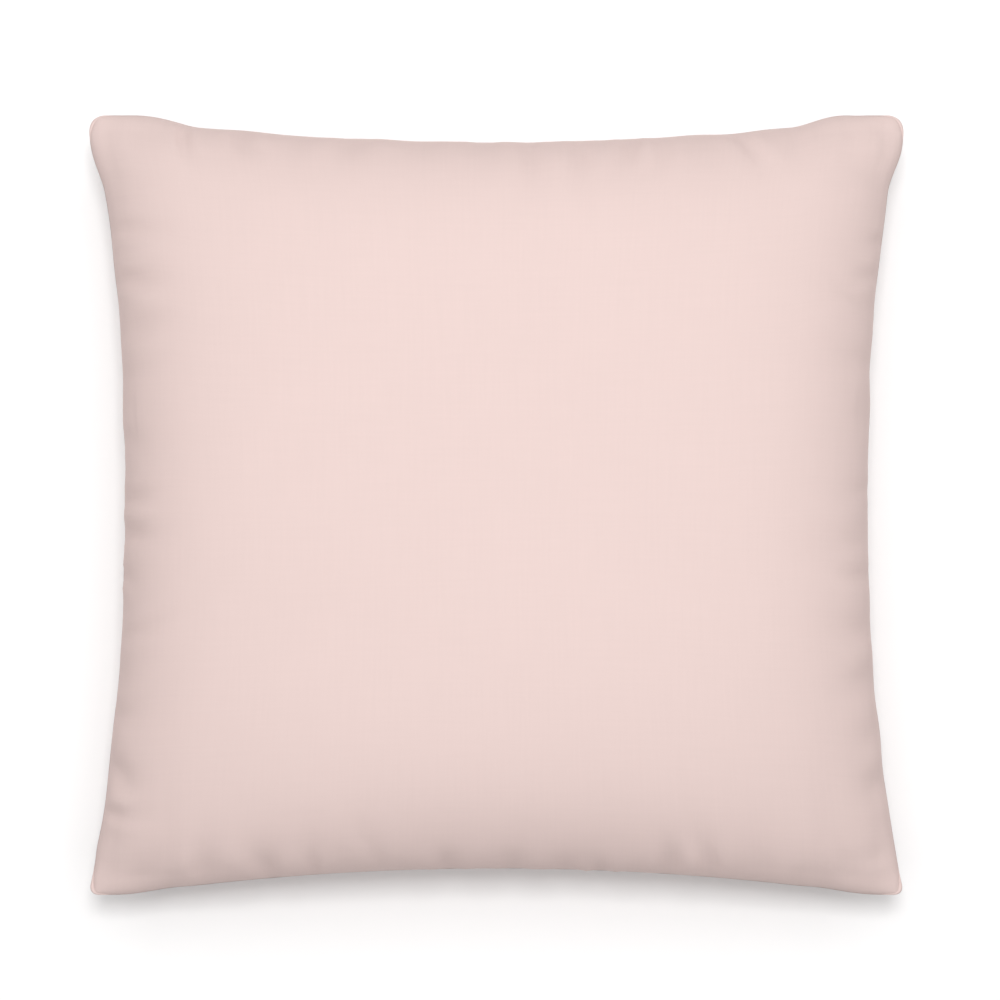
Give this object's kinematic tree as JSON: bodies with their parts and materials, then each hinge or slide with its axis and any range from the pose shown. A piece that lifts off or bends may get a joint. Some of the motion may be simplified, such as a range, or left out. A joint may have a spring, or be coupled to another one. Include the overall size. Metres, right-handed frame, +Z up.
{
  "type": "ring bearer pillow",
  "caption": "Square plain cushion for carrying wedding rings: a seamed cloth cover over a filled insert, closed along its lower edge by a coil zip with a slider and a swinging pull.",
  "frame": {"origin": "on the surface the cushion lies on, under the middle of its corner-to-corner box", "axes": "+Z up through the front panel's crown, +X towards the right side and +Y towards the top side of the cushion seen from the front, with the zip along the -Y side"},
  "size_m": [0.445, 0.426, 0.146],
  "materials": {
    "cover_cloth": "smooth plain weave, matt, blush pink",
    "cover_thread": "spun sewing thread, matched to the cover",
    "zip_tape": "woven twill tape, matched to the cover",
    "zip_coil": "moulded nylon coil, satin",
    "zip_metal": "nickel-plated, satin",
    "case_cloth": "white brushed non-woven, matt",
    "filling": "white fibre wadding",
    "case_thread": "white spun sewing thread",
    "label_satin": "white satin ribbon, blank"
  },
  "bodies": {
    "cushion": {"front_panel": "cover_cloth", "back_panel": "cover_cloth", "seam_thread_sides": "cover_thread", "overlock_thread_sides": "cover_thread", "seam_thread_zip_left": "cover_thread", "seam_thread_zip_right": "cover_thread", "zip_tape_front": "zip_tape", "zip_tape_back": "zip_tape", "zip_coil_front": "zip_coil", "zip_coil_back": "zip_coil", "zip_stitch_front": "cover_thread", "zip_stitch_back": "cover_thread", "zip_top_stop_front": "zip_metal", "zip_top_stop_back": "zip_metal", "zip_bottom_stop": "zip_metal", "insert_case_front": "case_cloth", "insert_case_back": "case_cloth", "insert_fill": "filling", "insert_seam_thread": "case_thread", "insert_closing_stitch": "case_thread", "care_label": "label_satin"},
    "slider": {"zip_slider": "zip_metal"},
    "pull": {"zip_pull_tab": "zip_metal"}
  },
  "joints": [
    {"name": "zip_travel", "type": "hinge", "parent": "cushion", "child": "slider", "pos_m": [0, -1.63711, 0.068], "axis": [0, 0, -1], "range_deg": [0, 11.62]},
    {"name": "pull_swing", "type": "hinge", "parent": "slider", "child": "pull", "pos_m": [-0.14607, -0.20272, 0.068], "axis": [0, 0, -1], "range_deg": [0, 170]}
  ]
}
